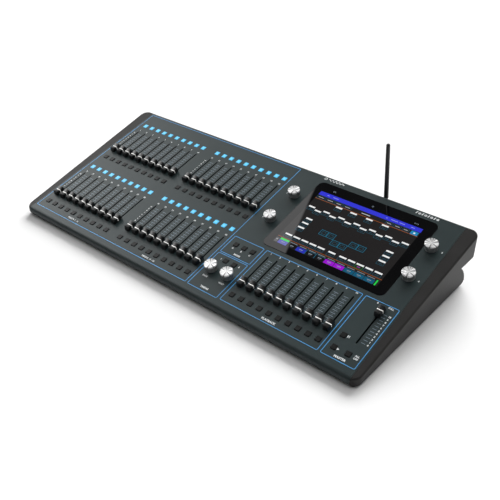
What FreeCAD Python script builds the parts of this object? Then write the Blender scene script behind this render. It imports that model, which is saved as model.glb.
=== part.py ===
"""Stage lighting control desk: forty preset faders, ten playback faders, one master and a touch screen.

The deck is a flat plate that slopes up towards the back. Everything on it is drawn in the deck's own
frame: x to the right, y up the slope from the front edge, z square to the plate with its top face at 0.
on_deck() then lays it in the desk's frame, where +Z is up and the feet stand on Z = 0.
"""
import FreeCAD, Part
import math
import os
from FreeCAD import Placement, Rotation, Vector

# ---- driving dimensions, in millimetres and degrees ----
DECK_TILT = 13.4          # slope of the deck
DECK_LENGTH = 383.0       # front edge to rear edge, up the slope
FRONT_EDGE_HEIGHT = 18.7  # deck plane above the ground at the front edge
DEPTH_TO_CENTRE = 199.4   # ground distance from the front edge to the origin
NOSE_RADIUS = 9.0         # round front edge, tangent to the deck and to the bottom
REAR_EDGE_RADIUS = 4.0
FOOT_HEIGHT = 3.0         # rubber feet under the case
OVERHANG_HEIGHT = 54.0    # underside of the rear overhang above the ground
NOTCH_Y = 323.0           # ground distance where the overhang meets the tub
HEEL_Y = 355.0            # ground distance of the tub's rearmost point
HALF_WIDTH = 406.0        # half width on the ground at the front edge
PLAN_TAPER = 0.0228       # extra half width per millimetre towards the back
SIDE_DRAFT = 0.07         # extra half width per millimetre of height
FRONT_CORNER = 18.0
REAR_CORNER = 18.0
SIDE_SEAM = 394.6         # half width of the steel case between the end cheeks
SEAM_GAP = 0.3
SHEET = 2.0               # steel sheet
RIM_RADIUS = 3.0          # upper outer edge of the cheeks
FOOT_RADIUS = 2.0         # lower outer edge of the cheeks
POCKET_WALL = 4.0
POCKET_DEPTH = 6.0

PITCH = 20.0              # faders side by side
BANK_STEP = 167.6         # from the front preset bank to the rear one
PRESET_X = (-373.4, -153.0)   # first fader of the left and right preset banks
PLAYBACK_X = 132.3        # first playback fader
MASTER_X = 367.1
SLOT_FRONT = 63.8
SLOT_LENGTH = 80.0
SLOT_WIDTH = 3.0
FADER_LOW = 69.5          # cap centre at the bottom of its travel
FADER_TRAVEL = 66.0
FLASH_Y = 39.8            # flash buttons in front of the faders
LIGHT_Y = 167.2           # channel lights behind the faders

CAP_WIDTH = 11.2
CAP_LENGTH = 21.0
CAP_TOP = 10.4
BUTTON = 9.6
BUTTON_PROUD = 1.3
BUTTON_GAP = 0.7
BOARD_TOP = -15.0         # control boards below the deck
KNOB_RADIUS = 12.0
KNOB_TOP = 15.0
KNOB_PLACES = ((74.5, 304.0), (74.5, 226.0), (367.5, 304.0), (367.5, 226.0), (61.3, 68.0), (99.3, 68.0))

GLASS_X = (97.5, 353.5)
GLASS_Y = (166.0, 364.0)
GLASS_CORNER = 12.0
LCD_CENTRE = (225.3, 261.3)
LCD_SIZE = (236.0, 176.0)

WALL = DECK_LENGTH        # outer face of the rear wall, in the deck's frame
SOCKET_ROW = -29.0        # centre line of the rear sockets below the deck plane
ANTENNA_X = 222.5
ANTENNA_REACH = 14.0      # antenna pivot behind the rear wall
ANTENNA_DEPTH = -25.4     # antenna pivot below the deck plane
ANTENNA_LENGTH = 120.0
ANTENNA_LEAN = 5.0        # the whip stands upright, turned a little to the left

DECK = Placement(Vector(0, -DEPTH_TO_CENTRE, FRONT_EDGE_HEIGHT), Rotation(Vector(1, 0, 0), DECK_TILT))


# ---- small helpers ----
def on_deck(shape):
    """The shape, drawn in the deck's frame, laid in the desk's frame."""
    laid = shape.copy()
    laid.Placement = DECK.multiply(laid.Placement)
    return laid


def box(x0, x1, y0, y1, z0, z1):
    """Box between two corners."""
    return Part.makeBox(x1 - x0, y1 - y0, z1 - z0, Vector(x0, y0, z0))


def round_box(x, y, width, length, z0, z1, radius):
    """Box about (x, y) with its four upright edges rounded."""
    block = box(x - width / 2, x + width / 2, y - length / 2, y + length / 2, z0, z1)
    upright = [e for e in block.Edges if abs(e.tangentAt(e.FirstParameter).z) > 0.9]
    return block.makeFillet(radius, upright)


def rod(x, y, radius, z0, z1):
    """Upright cylinder about (x, y)."""
    return Part.makeCylinder(radius, z1 - z0, Vector(x, y, z0))


def rear_rod(x, z, radius, y0, y1):
    """Cylinder along the deck's y, as a socket in the rear wall lies."""
    return Part.makeCylinder(radius, y1 - y0, Vector(x, y0, z), Vector(0, 1, 0))


def ground_point(y, z):
    """Point of the deck's frame, as ground distance and height."""
    return DECK.multVec(Vector(0, y, z))


def arc(first, middle, last):
    return Part.Arc(first, middle, last).toShape()


def line(first, last):
    return Part.makeLine(first, last)


def group(solids):
    return Part.makeCompound(solids)


# ---- layout of the controls, all in the deck's frame ----
def preset_banks():
    """First x and y shift of the four preset banks: rear left, rear right, front left, front right."""
    return [(x, shift) for shift in (BANK_STEP, 0.0) for x in PRESET_X]


def bank_x(first):
    """The ten fader positions of a bank."""
    return [first + PITCH * i for i in range(10)]


def fader_places():
    """(x, y shift) of every fader: forty preset, ten playback, one master."""
    presets = [(x, shift) for first, shift in preset_banks() for x in bank_x(first)]
    return presets + [(x, 0.0) for x in bank_x(PLAYBACK_X)] + [(MASTER_X, 0.0)]


BUTTON_PLACES = {
    "mode_button_1": (60.8, 138.6),
    "mode_button_2": (80.4, 138.6),
    "mode_button_3": (100.0, 138.6),
    "timing_button_1": (70.9, 96.0),
    "timing_button_2": (90.5, 96.0),
    "pause_button": (341.9, 67.8),
    "play_button": (341.9, 40.3),
    "blackout_button": (368.0, 40.3),
}


def all_buttons():
    """(x, y) of every button on the deck."""
    rows = [(x, FLASH_Y + shift) for first, shift in preset_banks() for x in bank_x(first)]
    rows += [(x, FLASH_Y) for x in bank_x(PLAYBACK_X)]
    return rows + list(BUTTON_PLACES.values())


# ---- the case ----
def side_profile():
    """Outline of the case from the side, as a face in the plane x = 0 of the desk's frame."""
    floor = FOOT_HEIGHT
    y_zero = -DEPTH_TO_CENTRE
    nose = ground_point(NOSE_RADIUS, -NOSE_RADIUS)
    nose_top = ground_point(NOSE_RADIUS, 0)
    mid_angle = math.radians((90 + DECK_TILT + 270) / 2)
    nose_mid = nose + Vector(0, math.cos(mid_angle), math.sin(mid_angle)) * NOSE_RADIUS
    nose_low = Vector(0, nose.y, floor)
    heel_low = Vector(0, y_zero + HEEL_Y - 7, floor)
    heel_mid = Vector(0, y_zero + HEEL_Y - 1.9, floor + 2.1)
    heel_top = Vector(0, y_zero + HEEL_Y, floor + 7)
    tub_mid = Vector(0, y_zero + HEEL_Y - 9.5, floor + 26)
    notch = Vector(0, y_zero + NOTCH_Y, OVERHANG_HEIGHT)
    wall_foot = wall_at_height(OVERHANG_HEIGHT)
    edge = REAR_EDGE_RADIUS
    slant = edge * (1 - math.sqrt(0.5))
    wall_top = ground_point(DECK_LENGTH, -edge)
    edge_mid = ground_point(DECK_LENGTH - slant, -slant)
    deck_end = ground_point(DECK_LENGTH - edge, 0)
    edges = [
        arc(nose_top, nose_mid, nose_low),
        line(nose_low, heel_low),
        arc(heel_low, heel_mid, heel_top),
        arc(heel_top, tub_mid, notch),
        line(notch, wall_foot),
        line(wall_foot, wall_top),
        arc(wall_top, edge_mid, deck_end),
        line(deck_end, nose_top),
    ]
    return Part.Face(Part.Wire(edges))


def wall_at_height(height):
    """Point of the rear wall, which is square to the deck, at a height above the ground."""
    tilt = math.radians(DECK_TILT)
    depth = (height - ground_point(DECK_LENGTH, 0).z) / math.cos(tilt)
    return ground_point(DECK_LENGTH, depth)


def plan_outline(height):
    """Rounded trapezium of the case seen from above, at a height."""
    front = ground_point(NOSE_RADIUS, -NOSE_RADIUS).y - NOSE_RADIUS
    rear = wall_at_height(height).y
    grow = SIDE_DRAFT * height
    front_half = HALF_WIDTH + grow
    rear_half = HALF_WIDTH + PLAN_TAPER * (rear - front) + grow
    corners = [(-front_half, front), (front_half, front), (rear_half, rear), (-rear_half, rear)]
    radii = [FRONT_CORNER, FRONT_CORNER, REAR_CORNER, REAR_CORNER]
    return rounded_polygon(corners, radii, height)


def rounded_polygon(corners, radii, height):
    """Closed wire through the corners, each rounded by an arc of its own radius."""
    arcs = []
    points = [Vector(x, y, height) for x, y in corners]
    for i, corner in enumerate(points):
        back = (points[i - 1] - corner).normalize()
        ahead = (points[(i + 1) % len(points)] - corner).normalize()
        half = back.getAngle(ahead) / 2
        reach = radii[i] / math.tan(half)
        middle = (back + ahead).normalize() * (radii[i] / math.sin(half) - radii[i])
        arcs.append((corner + back * reach, corner + middle, corner + ahead * reach))
    edges = []
    for i, (first, middle, last) in enumerate(arcs):
        edges.append(arc(first, middle, last))
        edges.append(line(last, arcs[(i + 1) % len(arcs)][0]))
    return Part.Wire(edges)


def plan_prism():
    """The plan outline swept from the ground to above the deck, widening with height."""
    return Part.makeLoft([plan_outline(-1.0), plan_outline(125.0)], True, True)


def slice_between(face, x0, x1):
    """The side profile swept across from x0 to x1."""
    return face.translated(Vector(x0, 0, 0)).extrude(Vector(x1 - x0, 0, 0))


def case_skin(profile, prism):
    """Sheet-metal skin of the case between the cheeks: a closed ring, open at both ends."""
    inner = profile.makeOffset2D(-SHEET)
    ring = profile.cut(inner)
    return slice_between(ring, -SIDE_SEAM, SIDE_SEAM).common(prism)


def deck_cutters():
    """Everything that passes through the top panel."""
    cutters = []
    for x, shift in fader_places():
        middle = SLOT_FRONT + SLOT_LENGTH / 2 + shift
        cutters.append(round_box(x, middle, SLOT_WIDTH, SLOT_LENGTH, -SHEET - 1, 1, SLOT_WIDTH * 0.49))
    hole = BUTTON + 2 * BUTTON_GAP
    cutters += [round_box(x, y, hole, hole, -SHEET - 1, 1, 1.6) for x, y in all_buttons()]
    cutters += [round_box(x, y, 9.4, 10.4, -SHEET - 1, 1, 1.0) for x, y in light_places()]
    cutters += [rod(x, y, 4.8, -SHEET - 1, 1) for x, y in KNOB_PLACES]
    cutters.append(glass_plate(0.4, -SHEET - 1, 1))
    return group(cutters)


def light_places():
    return [(x, LIGHT_Y + shift) for first, shift in preset_banks() for x in bank_x(first)]


def channel_light(x, y):
    """Square lens that stands a little proud of the deck."""
    return round_box(x, y, 9.0, 10.0, -2.6, 0.4, 0.8)


def glass_plate(margin, z0, z1):
    """Rounded plate of the screen's outline, grown by a margin."""
    x = sum(GLASS_X) / 2
    y = sum(GLASS_Y) / 2
    width = GLASS_X[1] - GLASS_X[0] + 2 * margin
    length = GLASS_Y[1] - GLASS_Y[0] + 2 * margin
    return round_box(x, y, width, length, z0, z1, GLASS_CORNER + margin)


def top_panel(skin):
    """Deck plate with the rolled front edge and the turned-down rear edge."""
    wide = SIDE_SEAM + 10
    plate = box(-wide, wide, -5, DECK_LENGTH + 5, -REAR_EDGE_RADIUS, 5)
    nose_end = NOSE_RADIUS * (1 - math.sin(math.radians(DECK_TILT)))
    nose = box(-wide, wide, -5, nose_end, -30, 5)
    keep = on_deck(plate.fuse(nose))
    return skin.common(keep).cut(on_deck(deck_cutters()))


def rear_panel(skin):
    """Rear wall with its socket cut-outs: three plates side by side."""
    wide = SIDE_SEAM + 10
    low = wall_depth() + SHEET + SEAM_GAP
    plates = []
    for left, right in zip((-wide,) + PLATE_SEAMS, PLATE_SEAMS + (wide,)):
        near, far = left + SEAM_GAP / 2, right - SEAM_GAP / 2
        plates.append(box(near, far, DECK_LENGTH - SHEET, DECK_LENGTH + 5, low, -REAR_EDGE_RADIUS - SEAM_GAP))
    return skin.common(on_deck(group(plates))).cut(on_deck(rear_cutters()))


def wall_depth():
    """Foot of the rear wall, measured down from the deck plane."""
    foot = wall_at_height(OVERHANG_HEIGHT)
    return to_deck(foot).z


def base_tray(skin):
    """Floor, tub and overhang of the case: the skin below the top and rear panels."""
    wide = SIDE_SEAM + 10
    nose_end = NOSE_RADIUS * (1 - math.sin(math.radians(DECK_TILT))) + SEAM_GAP
    low = wall_depth() + SHEET
    below = box(-wide, wide, nose_end, DECK_LENGTH + 30, -150, -REAR_EDGE_RADIUS - SEAM_GAP)
    wall = box(-wide, wide, DECK_LENGTH - SHEET - SEAM_GAP, DECK_LENGTH + 30, low, 5)
    return skin.common(on_deck(below.cut(wall)))


def right_cheek(profile, prism):
    """Moulded end cheek with rounded rims and a pocket on its inner face."""
    near = SIDE_SEAM + SEAM_GAP
    body = slice_between(profile, near, 450.0).common(prism)
    body = body.makeFillet(RIM_RADIUS, long_outer_edges(body, lambda p: abs(to_deck(p).z) < 0.05))
    body = body.makeFillet(FOOT_RADIUS, long_outer_edges(body, lambda p: abs(p.z - FOOT_HEIGHT) < 0.05))
    pocket = profile.makeOffset2D(-POCKET_WALL)
    return body.cut(slice_between(pocket, near - 1, near + POCKET_DEPTH))


def to_deck(point):
    """A point of the desk's frame, in the deck's frame."""
    return DECK.inverse().multVec(point)


def long_outer_edges(body, on_face):
    """Long edges of a cheek's outer side whose middle passes the test; fillets run on past them."""
    edges = []
    for edge in body.Edges:
        middle = edge.valueAt((edge.FirstParameter + edge.LastParameter) / 2)
        if abs(middle.x) > SIDE_SEAM + 8 and edge.Length > 100 and on_face(middle):
            edges.append(edge)
    return edges


# ---- screen ----
def display_module():
    """Flat liquid-crystal panel with its backlight tray, below the glass."""
    x, y = LCD_CENTRE
    return round_box(x, y, LCD_SIZE[0], LCD_SIZE[1], -10.0, -2.8, 1.5)


def display_frame():
    """Folded bracket ring under the deck that holds the glass and the display module."""
    x, y = LCD_CENTRE
    ring = glass_plate(6.0, -4.6, -2.5)
    window = round_box(x, y, LCD_SIZE[0] + 1, LCD_SIZE[1] + 1, -5, -2, 2.0)
    return ring.cut(window)


# ---- faders ----
def fader_body(x, shift):
    """Metal case of a slide fader with the slot that its lever runs in."""
    middle = SLOT_FRONT + SLOT_LENGTH / 2 + shift
    case = box(x - 4.5, x + 4.5, middle - 45, middle + 45, BOARD_TOP + 0.1, -SHEET - 0.4)
    slot = box(x - 1.2, x + 1.2, middle - 40, middle + 40, BOARD_TOP + 3, 0)
    return case.cut(slot)


def fader_cap(x, y):
    """Dished fader cap with its lever, in one piece."""
    half = CAP_LENGTH / 2
    low = 1.2
    top = CAP_TOP
    dip = 2.0
    edges = [
        line(Vector(0, -half, low), Vector(0, half, low)),
        line(Vector(0, half, low), Vector(0, half - 1.6, top)),
        arc(Vector(0, half - 1.6, top), Vector(0, 0, top - dip), Vector(0, 1.6 - half, top)),
        line(Vector(0, 1.6 - half, top), Vector(0, -half, low)),
    ]
    side = Part.Face(Part.Wire(edges)).translated(Vector(-CAP_WIDTH / 2, 0, 0))
    cap = side.extrude(Vector(CAP_WIDTH, 0, 0))
    ends = [e for e in cap.Edges if abs(e.tangentAt(e.FirstParameter).z) > 0.9]
    cap = cap.makeFillet(1.0, ends)
    lever = box(-0.6, 0.6, -2.0, 2.0, BOARD_TOP + 5, low + 1)
    return cap.fuse(lever).translated(Vector(x, y, 0))


# ---- buttons ----
def button(x, y):
    """Square button with a flange below the deck and a round stem to its switch."""
    cap = round_box(x, y, BUTTON, BUTTON, -2.6, BUTTON_PROUD, 1.2)
    crown = [e for e in cap.Edges if abs(e.valueAt(e.FirstParameter).z - BUTTON_PROUD) < 1e-6
             and abs(e.valueAt(e.LastParameter).z - BUTTON_PROUD) < 1e-6]
    cap = cap.makeFillet(0.4, crown)
    return cap.fuse(rod(x, y, 1.7, BOARD_TOP + 4.6, -2.6))


def button_switch(x, y):
    """Tactile switch on the control board."""
    return box(x - 3, x + 3, y - 3, y + 3, BOARD_TOP + 0.1, BOARD_TOP + 3.5)


# ---- knobs and encoders ----
def knob(x, y):
    """Round knob with a fluted skirt and a faced top, on its shaft."""
    body = rod(x, y, KNOB_RADIUS - 0.7, 1.0, KNOB_TOP - 3.2)
    flutes = [rod(x + KNOB_RADIUS * math.cos(a), y + KNOB_RADIUS * math.sin(a), 0.9, 0, KNOB_TOP - 3.2)
              for a in (2 * math.pi * i / 24 for i in range(24))]
    cap = rod(x, y, KNOB_RADIUS, KNOB_TOP - 3.2, KNOB_TOP)
    crown = [e for e in cap.Edges if e.BoundBox.ZMin > KNOB_TOP - 0.01]
    cap = cap.makeFillet(1.0, crown)
    return body.cut(group(flutes)).fuse(cap).fuse(rod(x, y, 3.0, -9.0, 1.5))


def encoder_body(x, y):
    """Rotary encoder: square case below the deck, round bush through it, bored for the shaft."""
    case = box(x - 6.5, x + 6.5, y - 6.5, y + 6.5, -12.0, -SHEET - 0.6)
    bush = rod(x, y, 4.5, -SHEET - 0.6, 0.4)
    return case.fuse(bush).cut(rod(x, y, 3.3, -9.6, 1.0))


# ---- electronics inside ----
def control_boards():
    """Circuit boards under the preset faders, the playback faders and beside the screen."""
    thick = 1.6
    low = BOARD_TOP - thick
    boards = [
        box(-386.0, 41.0, 30.0, 374.0, low, BOARD_TOP),
        box(44.0, 388.0, 30.0, 152.0, low, BOARD_TOP),
        box(58.0, 92.0, 200.0, 330.0, -13.8, -12.2),
        box(360.5, 388.0, 200.0, 330.0, -13.8, -12.2),
    ]
    return group([on_deck(b) for b in boards])


def main_board():
    """Processor board on the floor of the tub, with its heat sink."""
    board = box(90, 320, -10, 120, 12, 13.6)
    fins = [box(170 + 6 * i, 172.5 + 6 * i, 30, 80, 16.5, 30) for i in range(9)]
    sink = box(170, 220.5, 30, 80, 13.6, 17)
    posts = [rod(x, y, 3, 5.1, 12) for x in (96, 314) for y in (-4, 114)]
    whole = board.fuse(sink)
    for piece in fins + posts:
        whole = whole.fuse(piece)
    return whole


def power_supply():
    """Enclosed switch-mode supply on the floor of the tub."""
    return box(-340, -180, 10, 110, FOOT_HEIGHT + SHEET + 0.1, 41)


# ---- rear sockets, drawn in the deck's frame against the rear wall ----
INLET_X = -320.0
ROCKER_X = -278.0
DMX_X = (-200.0, -160.0, -120.0, -80.0)
NETWORK_X = (-20.0, 12.0)
USB_X = (56.0, 86.0)
VIDEO_X = 124.0
PLATE_SEAMS = (-232.0, -58.0)   # joints between the rear wall's three plates


def wall_box(x, z, width, height, y0, y1):
    """Box centred on (x, z) of the rear wall, from y0 to y1."""
    return box(x - width / 2, x + width / 2, y0, y1, z - height / 2, z + height / 2)


def rear_cutters():
    """Cut-outs of the rear panel."""
    inside = WALL - SHEET - 1
    outside = WALL + 1
    cutters = [wall_box(INLET_X, SOCKET_ROW, 27.5, 20.5, inside, outside)]
    cutters.append(wall_box(ROCKER_X, SOCKET_ROW, 13.5, 20.5, inside, outside))
    cutters += [rear_rod(x, SOCKET_ROW, 12.0, inside, outside) for x in DMX_X]
    cutters += [wall_box(x, SOCKET_ROW, 17.0, 14.4, inside, outside) for x in NETWORK_X]
    cutters += [wall_box(x, SOCKET_ROW, 14.8, 7.4, inside, outside) for x in USB_X]
    cutters.append(wall_box(VIDEO_X, SOCKET_ROW, 16.6, 7.6, inside, outside))
    cutters.append(rear_rod(ANTENNA_X, ANTENNA_DEPTH, 3.4, inside, outside))
    return group(cutters)


def power_inlet():
    """Mains inlet: flanged shroud with an open cavity and three blades."""
    flange = wall_box(INLET_X, SOCKET_ROW, 40.0, 28.0, WALL + 0.1, WALL + 2.6)
    shroud = wall_box(INLET_X, SOCKET_ROW, 27.0, 20.0, WALL - 22, WALL + 0.1)
    cavity = wall_box(INLET_X, SOCKET_ROW, 24.0, 16.5, WALL - 18, WALL + 3)
    inlet = flange.fuse(shroud).cut(cavity)
    for x, z in ((-7.0, -2.0), (7.0, -2.0), (0.0, 2.0)):
        inlet = inlet.fuse(wall_box(INLET_X + x, SOCKET_ROW + z, 2.0, 4.0, WALL - 18.5, WALL - 2))
    return inlet


def rocker_frame():
    """Frame of the power switch."""
    flange = wall_box(ROCKER_X, SOCKET_ROW, 17.0, 24.0, WALL + 0.1, WALL + 1.6)
    case = wall_box(ROCKER_X, SOCKET_ROW, 13.0, 20.0, WALL - 16, WALL + 0.1)
    cavity = wall_box(ROCKER_X, SOCKET_ROW, 10.6, 17.6, WALL - 9, WALL + 2)
    return flange.fuse(case).cut(cavity)


ROCKER_ANGLE = 9.0
ROCKER_PIVOT = WALL - 3.0


def power_rocker():
    """Rocker of the power switch with its pivot pin, resting in its off position."""
    edges = [
        line(Vector(0, 4.2, -8.0), Vector(0, -1.5, -7.2)),
        line(Vector(0, -1.5, -7.2), Vector(0, -1.5, 7.2)),
        line(Vector(0, -1.5, 7.2), Vector(0, 4.2, 8.0)),
        arc(Vector(0, 4.2, 8.0), Vector(0, 2.9, 0), Vector(0, 4.2, -8.0)),
    ]
    side = Part.Face(Part.Wire(edges)).translated(Vector(-4.7, 0, 0))
    rocker = side.extrude(Vector(9.4, 0, 0))
    rocker = rocker.fuse(Part.makeCylinder(1.0, 10.4, Vector(-5.2, 0, 0), Vector(1, 0, 0)))
    rocker.rotate(Vector(0, 0, 0), Vector(1, 0, 0), -ROCKER_ANGLE)
    return rocker.translated(Vector(ROCKER_X, ROCKER_PIVOT, SOCKET_ROW))


def dmx_socket(x):
    """Round socket: square flange and round cup, with an insert standing on the cup's floor."""
    flange = wall_box(x, SOCKET_ROW, 26.0, 31.0, WALL + 0.1, WALL + 2.1)
    shell = rear_rod(x, SOCKET_ROW, 11.8, WALL - 20, WALL + 3.4)
    cup = flange.fuse(shell).cut(rear_rod(x, SOCKET_ROW, 9.6, WALL - 13, WALL + 4))
    insert = rear_rod(x, SOCKET_ROW, 7.7, WALL - 12.98, WALL + 3.0)
    return group([cup, insert])


def network_socket(x):
    """Modular eight-way jack with the stepped opening for the latch."""
    shell = wall_box(x, SOCKET_ROW, 16.4, 13.8, WALL - 18, WALL + 0.8)
    mouth = wall_box(x, SOCKET_ROW + 1.2, 12.0, 8.6, WALL - 14, WALL + 1)
    latch = wall_box(x, SOCKET_ROW - 3.6, 6.4, 3.0, WALL - 14, WALL + 1)
    return shell.cut(mouth).cut(latch)


def usb_socket(x):
    """Flat serial-bus socket with its tongue."""
    shell = wall_box(x, SOCKET_ROW, 14.2, 6.8, WALL - 14, WALL + 0.8)
    mouth = wall_box(x, SOCKET_ROW, 12.5, 5.1, WALL - 12, WALL + 1)
    tongue = wall_box(x, SOCKET_ROW + 0.9, 11.0, 1.8, WALL - 12.5, WALL - 0.6)
    return shell.cut(mouth).fuse(tongue)


def video_socket():
    """External-monitor socket with its tongue."""
    shell = wall_box(VIDEO_X, SOCKET_ROW, 16.0, 7.0, WALL - 12, WALL + 0.8)
    mouth = wall_box(VIDEO_X, SOCKET_ROW, 14.2, 4.9, WALL - 10, WALL + 1)
    tongue = wall_box(VIDEO_X, SOCKET_ROW, 11.0, 1.4, WALL - 10.5, WALL - 0.6)
    return shell.cut(mouth).fuse(tongue)


# ---- antenna ----
def antenna_socket():
    """Threaded bulkhead socket with its nut, in the rear wall."""
    nut = Part.makePolygon([Vector(4.6 * math.cos(a), 0, 4.6 * math.sin(a))
                            for a in (math.pi / 3 * i for i in range(7))])
    nut = Part.Face(nut).extrude(Vector(0, 2.0, 0)).translated(Vector(ANTENNA_X, WALL + 0.1, ANTENNA_DEPTH))
    barrel = rear_rod(ANTENNA_X, ANTENNA_DEPTH, 3.1, WALL - 10, WALL + 8)
    return nut.fuse(barrel)


def antenna_knuckle():
    """Sleeve that turns on the socket, with a fork and pin for the whip."""
    pivot = WALL + ANTENNA_REACH
    sleeve = rear_rod(ANTENNA_X, ANTENNA_DEPTH, 4.9, WALL + 2.6, pivot - 3)
    sleeve = sleeve.cut(rear_rod(ANTENNA_X, ANTENNA_DEPTH, 3.5, WALL, WALL + 8.6))
    fork = wall_box(ANTENNA_X, ANTENNA_DEPTH, 9.0, 8.0, pivot - 5.2, pivot + 4)
    slot = wall_box(ANTENNA_X, ANTENNA_DEPTH, 4.4, 20, pivot - 4.6, pivot + 6)
    pin = Part.makeCylinder(1.4, 9.0, Vector(ANTENNA_X - 4.5, pivot, ANTENNA_DEPTH), Vector(1, 0, 0))
    knuckle = sleeve.fuse(fork).cut(slot).fuse(pin)
    knuckle.rotate(Vector(ANTENNA_X, 0, ANTENNA_DEPTH), Vector(0, 1, 0), -ANTENNA_LEAN)
    return knuckle


def antenna_whip():
    """Rod antenna with a rounded tip and a flat eye around the knuckle's pin."""
    eye = Part.makeCylinder(3.6, 3.6, Vector(-1.8, 0, 0), Vector(1, 0, 0))
    neck = box(-1.8, 1.8, -3.0, 3.0, 0, 8)
    root = Part.makeCone(3.6, 4.6, 3.0, Vector(0, 0, 6.4))
    mast = Part.makeCone(4.6, 3.8, ANTENNA_LENGTH - 9.4 - 3.8, Vector(0, 0, 9.4))
    tip = Part.makeSphere(3.8, Vector(0, 0, ANTENNA_LENGTH - 3.8))
    hole = Part.makeCylinder(1.7, 10, Vector(-5, 0, 0), Vector(1, 0, 0))
    whip = eye.fuse(neck).fuse(root).fuse(mast).fuse(tip).cut(hole)
    whip.rotate(Vector(0, 0, 0), Vector(1, 0, 0), -DECK_TILT)
    whip.rotate(Vector(0, 0, 0), Vector(0, 1, 0), -ANTENNA_LEAN)
    return whip.translated(Vector(ANTENNA_X, WALL + ANTENNA_REACH, ANTENNA_DEPTH))


# ---- feet and screws ----
def rubber_feet():
    """Six round feet under the tub."""
    return group([rod(x, y, 9.0, 0, FOOT_HEIGHT - 0.02) for x in (-360, 0, 360) for y in (-175, 125)])


def case_screws():
    """Pan heads of the screws in the rear panel and the floor of the tray."""
    screws = []
    for x in (-380, -240, -50, 165, 380):
        for z in (-10.0, -46.0):
            screws.append(on_deck(rear_rod(x, z, 2.8, WALL + 0.02, WALL + 1.6)))
    for x in (-375, -125, 125, 375):
        for y in (-150, 90):
            screws.append(rod(x, y, 2.8, FOOT_HEIGHT - 1.6, FOOT_HEIGHT - 0.02))
    return group(screws)


# ---- the assembly ----
def moving_parts():
    """Node name and shape of every piece that moves."""
    nodes = {}
    for number, (first, shift) in enumerate(preset_banks(), 1):
        caps = [fader_cap(x, FADER_LOW + shift) for x in bank_x(first)]
        flashes = [button(x, FLASH_Y + shift) for x in bank_x(first)]
        nodes[f"preset_fader_caps_{number}"] = on_deck(group(caps))
        nodes[f"preset_buttons_{number}"] = on_deck(group(flashes))
    for number, x in enumerate(bank_x(PLAYBACK_X), 1):
        nodes[f"playback_fader_cap_{number}"] = on_deck(fader_cap(x, FADER_LOW))
    nodes["playback_buttons"] = on_deck(group([button(x, FLASH_Y) for x in bank_x(PLAYBACK_X)]))
    nodes["master_fader_cap"] = on_deck(fader_cap(MASTER_X, FADER_LOW + FADER_TRAVEL))
    for name, (x, y) in BUTTON_PLACES.items():
        nodes[name] = on_deck(button(x, y))
    for number, (x, y) in enumerate(KNOB_PLACES, 1):
        nodes[f"encoder_knob_{number}"] = on_deck(knob(x, y))
    nodes["power_rocker"] = on_deck(power_rocker())
    nodes["antenna_knuckle"] = on_deck(antenna_knuckle())
    nodes["antenna_whip"] = on_deck(antenna_whip())
    return nodes


def fixed_parts():
    """Node name and shape of every piece of the case and its fittings."""
    profile = side_profile()
    prism = plan_prism()
    skin = case_skin(profile, prism)
    cheek = right_cheek(profile, prism)
    return {
        "top_panel": top_panel(skin),
        "rear_panel": rear_panel(skin),
        "base_tray": base_tray(skin),
        "left_cheek": cheek.mirror(Vector(0, 0, 0), Vector(1, 0, 0)),
        "right_cheek": cheek,
        "screen_glass": on_deck(glass_plate(0.0, -2.4, 0.6)),
        "display_module": on_deck(display_module()),
        "display_frame": on_deck(display_frame()),
        "fader_bodies": on_deck(group([fader_body(x, shift) for x, shift in fader_places()])),
        "button_switches": on_deck(group([button_switch(x, y) for x, y in all_buttons()])),
        "channel_lights": on_deck(group([channel_light(x, y) for x, y in light_places()])),
        "encoder_bodies": on_deck(group([encoder_body(x, y) for x, y in KNOB_PLACES])),
        "control_boards": control_boards(),
        "main_board": main_board(),
        "power_supply": power_supply(),
        "power_inlet": on_deck(power_inlet()),
        "rocker_frame": on_deck(rocker_frame()),
        "dmx_sockets": on_deck(group([dmx_socket(x) for x in DMX_X])),
        "network_sockets": on_deck(group([network_socket(x) for x in NETWORK_X])),
        "usb_and_video_sockets": on_deck(group([usb_socket(x) for x in USB_X] + [video_socket()])),
        "antenna_socket": on_deck(antenna_socket()),
        "rubber_feet": rubber_feet(),
        "case_screws": case_screws(),
    }


def main():
    os.makedirs("parts", exist_ok=True)
    nodes = {**fixed_parts(), **moving_parts()}
    for name, shape in nodes.items():
        shape.exportStep(f"parts/{name}.step")
        bounds = shape.BoundBox
        print(f"{name}: {len(shape.Solids)} solids, {shape.Volume / 1000:.1f} cm3, valid {shape.isValid()},",
              f"x {bounds.XMin:.1f}..{bounds.XMax:.1f} y {bounds.YMin:.1f}..{bounds.YMax:.1f}",
              f"z {bounds.ZMin:.1f}..{bounds.ZMax:.1f}")


main()
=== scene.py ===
# %% [markdown]
# # A lighting control desk
# The desk is a sloped steel deck between two moulded end cheeks. It carries forty preset faders, ten
# playback faders, a master fader, push buttons, six knobs and a touch screen.
# The engineering model comes in as a fixed frame. Nodes whose shape is right keep their mesh and get a
# real finish. Caps and knobs, whose charm is in small curves, are drawn again as finer surfaces, and
# everything printed or lit on the deck is added on top.

# %% Load the fixed frame
import math

import bpy
import numpy as np
from mathutils import Matrix, Vector


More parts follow.
